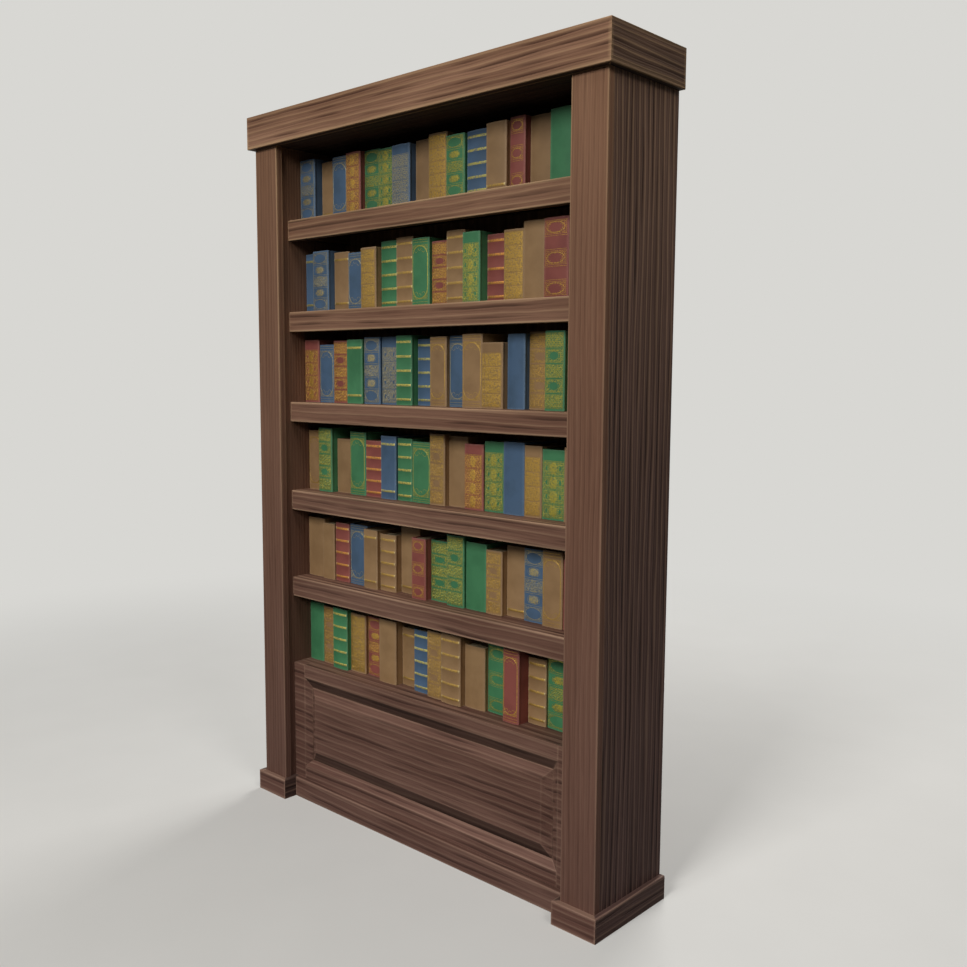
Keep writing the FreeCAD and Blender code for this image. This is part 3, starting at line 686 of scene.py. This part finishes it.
# shares of a field's half width and half height and of a line's width: the oval, and the curls round or in it
ovalLook = {
    "ovals": ((0.82, 0.8, 0.9), (0.62, 0.6, 0.55)),
    "panels": ((0.55, 0.66, 0.5), (0.62, 0.72, 1.0)),
    "medallions": ((0.86, 0.94, 0.8), (0.86, 0.94, 0.8)),
    "stamps": ((0.68, 0.76, 0.4), (0.6, 0.66, 0.9)),
    "middle": (0.8, 0.86, 1.0), "stampField": (0.55, 0.62),
}


def onSpine(shell, u, v, lift):
    return shell.add(shell.book["at"] + Vector((u, spineDepth(shell.book, u) - lift, v)) * mm)


def toolLine(shell, points, width=None, closed=False):
    # a pressed line of gold along places (u across, v up) on the spine
    width = width or toolLook["line"]
    count, ring = len(points), []
    for i, (u, v) in enumerate(points):
        before = points[i - 1] if closed or i else points[i]
        after = points[(i + 1) % count] if closed or i < count - 1 else points[i]
        du, dv = after[0] - before[0], after[1] - before[1]
        size = math.hypot(du, dv) or 1
        nu, nv = -dv / size, du / size
        ring.append([onSpine(shell, u + nu * width * side, v + nv * width * side, height)
                     for side, height in toolLook["across"]])
    for i in range(count if closed else count - 1):
        a, b = ring[i], ring[(i + 1) % count]
        for k in range(3):
            shell.faces.append((a[k], a[k + 1], b[k + 1], b[k]))
            shell.kinds.append(shell.leaf)


def toolPatch(shell, points, levels):
    # gold within an outline: rings drawn in towards its middle
    count = len(points)
    middleU, middleV = [sum(point[axis] for point in points) / count for axis in (0, 1)]
    rings = [[onSpine(shell, middleU + (u - middleU) * share, middleV + (v - middleV) * share, height)
              for u, v in points] for share, height in levels[:-1]]
    centre = onSpine(shell, middleU, middleV, levels[-1][1])
    for i in range(count):
        j = (i + 1) % count
        shell.faces += [(outer[i], outer[j], inner[j], inner[i]) for outer, inner in zip(rings, rings[1:])]
        shell.faces.append((rings[-1][i], rings[-1][j], centre))
        shell.kinds += [shell.leaf] * len(rings)


def oval(u, v, halfU, halfV, count=24, start=0.0, turn=1.0):
    # the whole oval, or the share turn of it from the share start
    angles = [2 * math.pi * (start + turn * i / count) for i in range(count + (1 if turn < 1 else 0))]
    return [(u + halfU * math.cos(angle), v + halfV * math.sin(angle)) for angle in angles]


def bar(shell, v, share=1.0):
    steps = 8
    left = toolLook["margins"][0] - toolLook["over"]
    right = shell.book["thick"] - toolLook["margins"][1] + toolLook["over"]
    toolLine(shell, [(left + (right - left) * i / steps, v) for i in range(steps + 1)],
             toolLook["line"] * share)


def rectangle(left, right, low, high, steps=6):
    points = []
    corners = [(left, low), (right, low), (right, high), (left, high)]
    for i in range(4):
        (u0, v0), (u1, v1) = corners[i], corners[(i + 1) % 4]
        points += [(u0 + (u1 - u0) * k / steps, v0 + (v1 - v0) * k / steps) for k in range(steps)]
    return points


def curls(shell, left, right, low, high, share=1.0, inside=None):
    # close scrollwork of quarter rings in small squares, the same on both sides of the middle
    across = 2 * max(1, round((right - left) / toolLook["curl"] / 2))
    up = 2 * max(1, round((high - low) / toolLook["curl"] / 2))
    stepU, stepV = (right - left) / across, (high - low) / up
    width = toolLook["line"] * share
    for i in range(across):
        for j in range(up):
            u, v = left + stepU * i, low + stepV * j
            if inside and not inside(u + stepU / 2, v + stepV / 2):
                continue
            # which two corners the rings go round, mixed by a sum and mirrored on the other half
            a, b = min(i, across - 1 - i), min(j, up - 1 - j)
            rising = ((a * 2 + b * 3 + a * b) % 3 == 0) != ((i != a) != (j != b))
            for end in (0, 1):
                top = end if rising else 1 - end
                arc = [(u + stepU * (end + (0.5 - end) * math.cos(math.pi / 8 * k)),
                        v + stepV * (top + (0.5 - top) * math.sin(math.pi / 8 * k))) for k in range(5)]
                toolLine(shell, arc, width)
            if (i + j) % 2 == 0:
                toolPatch(shell, oval(u, v, width / 2, width / 2, 8), toolLook["dot"])


def compartments(book, count, low, high):
    # the spine's height from share low to share high, shared out between double lines
    step = (high - low) * book["tall"] / count
    return [(low * book["tall"] + step * i, low * book["tall"] + step * (i + 1)) for i in range(count)]


def addTooling(shell):
    book = shell.book
    kind, thick, tall = book["tooling"], book["thick"], book["tall"]
    line, over = toolLook["line"], toolLook["over"]
    left, right = toolLook["margins"][0], thick - toolLook["margins"][1]
    middle, half = (left + right) / 2, (right - left) / 2

    def frameTo(head, width):
        toolLine(shell, rectangle(left - over, right + over, tall * toolLook["foot"], tall * head, 12),
                 width, True)

    def curlsBy(shares, v, halfV, low, high, within):
        halfU, halfV, share = half * shares[0], halfV * shares[1], shares[2]

        def inside(a, b):
            reach = ((a - middle) / halfU) ** 2 + ((b - v) / halfV) ** 2
            return reach < 1 if within else reach > 1.1

        curls(shell, left, right, low, high, share, inside)

    if kind in ("lace", "topLace"):
        (top, count), gap, (inU, inV) = toolLook[kind], toolLook["laceField"], toolLook["laceIn"]
        (wide, up), eyesAt = toolLook["laceOval"], toolLook["eyesAt"]
        frameTo(top, line * 0.7)
        for low, high in compartments(book, count, toolLook["foot"], top):
            v = (low + high) / 2
            if book["colour"] == "tan":
                toolPatch(shell, rectangle(left, right, low + gap, high - gap), toolLook["field"])
            elif book["colour"] != "blue":
                toolPatch(shell, oval(middle, v, half * wide, (high - low) * up, 12), toolLook["field"])
            curls(shell, left + inU, right - inU, low + inV, high - inV, 1.05,
                  lambda a, b: math.hypot(abs(a - middle) - half * eyesAt, b - v) > toolLook["eye"])
            bar(shell, high, 0.6)
    elif kind in ovalLook:
        fields = compartments(book, toolLook["fields"], toolLook["foot"], toolLook["head"])
        for i, (low, high) in enumerate(fields):
            v, halfV = (low + high) / 2, (high - low) / 2 - toolLook["fieldIn"]
            low, high = low + toolLook["fieldIn"], high - toolLook["fieldIn"]
            bar(shell, low, 0.6)
            bar(shell, high, 0.6)
            low, high = low + toolLook["curlIn"], high - toolLook["curlIn"]
            if kind == "ovals" and i % 2:
                continue
            if kind == "panels" and i % 2 == 0:
                curls(shell, left, right, low, high, 1.1)
                continue
            # every second medallion is a small stamp, nearly solid gold
            stamp = kind == "medallions" and i % 2 == 1
            ring, filling = ovalLook["stamps" if stamp else kind]
            if stamp:
                fieldU, fieldV = ovalLook["stampField"]
                toolPatch(shell, oval(middle, v, half * fieldU, halfV * fieldV), toolLook["field"])
            toolLine(shell, oval(middle, v, half * ring[0], halfV * ring[1]), line * ring[2], True)
            curlsBy(filling, v, halfV, low, high, stamp)
            if kind == "medallions" and i == 2:
                curlsBy(ovalLook["middle"], v, halfV, low, high, True)
        if kind != "ovals":
            frameTo(toolLook["head"], line * 0.6)
    elif kind == "longFrame":
        low, high = [tall * share for share in toolLook["frame"]]
        bend = [(math.cos(math.pi * i / 12), math.sin(math.pi * i / 12)) for i in range(13)]
        straight = [(high - low - 2 * half) * i / 8 for i in range(1, 8)]
        stadium = [(middle + half * u, high - half + half * v) for u, v in bend]
        stadium += [(left, high - half - down) for down in straight]
        stadium += [(middle - half * u, low + half - half * v) for u, v in bend]
        stadium += [(right, low + half + up) for up in straight]
        toolLine(shell, stadium, line * 1.3, True)
        for share in toolLook["frameBars"]:
            bar(shell, tall * share, 0.7)
        for end, side in ((low, 1), (high, -1)):
            turn = end + side * half  # centre of the rounded end
            ends = sorted((end - side * toolLook["frameFrom"], turn))
            curls(shell, left - over, right + over, *ends, 0.75,
                  lambda a, b: math.hypot(a - middle, b - turn) > half)
            for aside, up in toolLook["leaves"]:
                leaf = oval(middle + half * aside, end + side * half * up, half * toolLook["leaf"],
                            half * toolLook["leaf"], 8, 0.0 if side > 0 else 0.5, 0.5)
                toolLine(shell, leaf, line * 0.6)


def bookFrom(box, text, order, row):
    low, high = box
    colour, tooling = text.split()
    thick, deep, tall = (high - low) / mm
    chance = order * boardLook["toneStep"] % 1 - 0.5
    # the tone: a random spread, times the row's painted shade, darker in the upper rows and paler in the
    # lower
    return {"at": low, "thick": thick, "deep": deep, "tall": tall, "colour": colour, "tooling": tooling,
            "tone": (1 + bookLook["toneSpread"] * chance) * bookLook["rowShade"][row - 1]}


def dressBooks(prefix, books, body, caseNode, pageNodes):
    covers, gold, pages = Shell(), Shell(), Shell()
    for book in books:
        colour = coverColours.index(book["colour"])
        addCase(covers, book, colour, len(coverColours) + colour)
        gold.book, gold.leaf, gold.shade = book, colour, min(book["tone"], bookLook["giltTone"])
        addTooling(gold)
        addPages(pages, book)
    for label, shell, materials, slot, nodes in (
            ("_covers", covers, coverMaterials + bandMaterials, "book_covers", [caseNode]),
            ("_leaves", pages, [paperMaterial], "book_pages", pageNodes),
            ("_gold_tooling", gold, lineMaterials, None, ())):
        if shell.faces:
            newPiece(prefix + label, shell.mesh(prefix + label, materials), body, slot, nodes)


for number, texts in enumerate(rows, 1):
    name = "row_%d" % number
    fixed = [(box, False) for box in islandBoxes(name + "_book_cases")]
    loose = [(box, True) for box in islandBoxes(name + "_loose_book_case")]
    both = sorted(fixed + loose, key=lambda pair: pair[0][0].x)
    fixedBooks, looseBooks = [], []
    for order, ((box, isLoose), text) in enumerate(zip(both, texts)):
        (looseBooks if isLoose else fixedBooks).append(bookFrom(box, text, order * 7 + number * 3, number))
    dressBooks(name + "_books", fixedBooks, "bookcase", name + "_book_cases", ["page_blocks"])
    dressBooks(name + "_loose_book", looseBooks, name + "_loose_book", name + "_loose_book_case",
               [name + "_loose_book_pages"])
print("books bound,", sum(len(texts) for texts in rows))


# studio: pale floor, a large soft key in front and above, weak light on the side and back, pale surround
studio = {
    "reach": 30.0,  # m from the case to the end of the floor
    "floor": ("#CFCDC8", "#D2D0CB"),  # matt paint, a little uneven
    "specks": 3.0,  # patches per metre
    "surround": "#D8D7D3",
    "lift": 0.2,  # how far the surround's own paleness fills the floor
    "bounce": "#2E2D2B",  # the floor as the case sees it, so that little light comes from below
    "fade": (1.4, 4.5),  # m from the case, over which floor turns to surround
    "fill": 0.06,  # light of the surround, as the case sees it
}


def seenByCamera(tree):
    # 1 where the camera looks, straight or in a reflection, 0 for light that falls on the case
    rays = addNode(tree, "LightPath", {}).outputs
    return addNode(tree, "Math", {0: rays["Is Camera Ray"], 1: rays["Is Glossy Ray"]}, operation="MAXIMUM")


floorMesh = bpy.data.meshes.new("studio_floor")
floorMesh.from_pydata([(x * studio["reach"], y * studio["reach"], 0)
                       for x, y in ((-1, -1), (1, -1), (1, 1), (-1, 1))], [], [(0, 1, 2, 3)])
floorMaterial, tree, surface = newMaterial("matt painted studio floor",
                                           {"Roughness": 0.9, "Specular IOR Level": 0.1})
place = addNode(tree, "TexCoord", {}).outputs["Object"]
specks = addNode(tree, "TexNoise", {"Vector": place, "Scale": studio["specks"], "Detail": 2.0})
paint = setStops(addNode(tree, "ValToRGB", {"Fac": specks}),
                 [(0.3, studio["floor"][0]), (0.7, studio["floor"][1])])
feed(surface, {"Base Color": paint})
away = addNode(tree, "VectorMath", {0: place}, operation="LENGTH").outputs["Value"]
near, beyond = studio["fade"]
fade = addNode(tree, "MapRange", {"Value": away, "From Min": near, "From Max": beyond},
               interpolation_type="SMOOTHSTEP")
pale = hexColour(studio["surround"])
glow = addNode(tree, "Emission", {"Color": pale, "Strength": studio["lift"]})
lit = addNode(tree, "AddShader", {0: surface, 1: glow})
far = addNode(tree, "Emission", {"Color": pale, "Strength": 1.0})
shown = addNode(tree, "MixShader", {0: fade, 1: lit, 2: far})
under = addNode(tree, "BsdfDiffuse", {"Color": hexColour(studio["bounce"])})
both = addNode(tree, "MixShader", {0: seenByCamera(tree), 1: under, 2: shown})
feed(tree.nodes["Material Output"], {"Surface": both})
floorMesh.materials.append(floorMaterial)
floor = newObject("studio_floor", floorMesh)

world = bpy.data.worlds.new("pale studio")
scene.world = world
world.use_nodes = True
tree = world.node_tree
tree.nodes.clear()
fill = addNode(tree, "Background", {"Color": hexColour("#FFFFFF"), "Strength": studio["fill"]})
shown = addNode(tree, "Background", {"Color": pale, "Strength": 1.0})
both = addNode(tree, "MixShader", {0: seenByCamera(tree), 1: fill, 2: shown})
addNode(tree, "OutputWorld", {"Surface": both})

lamps = {
    "key": {"at": (1.3, -9.0, 6.7), "aim": (0.0, 0.0, 1.2), "size": 3.6, "watts": 820},
    "side": {"at": (3.2, -1.1, 4.3), "aim": (0.5, 0.0, 1.2), "size": 1.3, "watts": 42},
    "back": {"at": (-0.9, 3.6, 3.2), "aim": (0.0, 0.1, 1.0), "size": 2.0, "watts": 110},
}
for name, lamp in lamps.items():
    data = bpy.data.lights.new(name + "_softbox", "AREA")
    data.shape, data.size, data.energy = "SQUARE", lamp["size"], lamp["watts"]
    light = newObject(name + "_softbox", data)
    light.location = lamp["at"]
    light.rotation_euler = (Vector(lamp["aim"]) - Vector(lamp["at"])).to_track_quat("-Z", "Y").to_euler()


# camera, at the photograph's place: in front, well to the right, at two thirds of the height
viewpoint = {
    "at": (2.1135, -2.1001, 1.4026),  # m
    "yaw": 0.74462, "down": 0.10769, "roll": 0.00551,  # radians
    "lens": 38.071, "sensor": 36,  # mm
    "reach": 100,  # m
}
cameraData = bpy.data.cameras.new("camera")
cameraData.lens, cameraData.sensor_width = viewpoint["lens"], viewpoint["sensor"]
cameraData.clip_end = viewpoint["reach"]
camera = newObject("camera", cameraData)
placed = Matrix.Translation(viewpoint["at"])
for turn, axis in (viewpoint["yaw"], "Z"), (math.pi / 2 - viewpoint["down"], "X"), (viewpoint["roll"], "Z"):
    placed = placed @ Matrix.Rotation(turn, 4, axis)
camera.matrix_world = placed
scene.camera = camera
scene.view_settings.view_transform = "Standard"
print("studio and camera set")
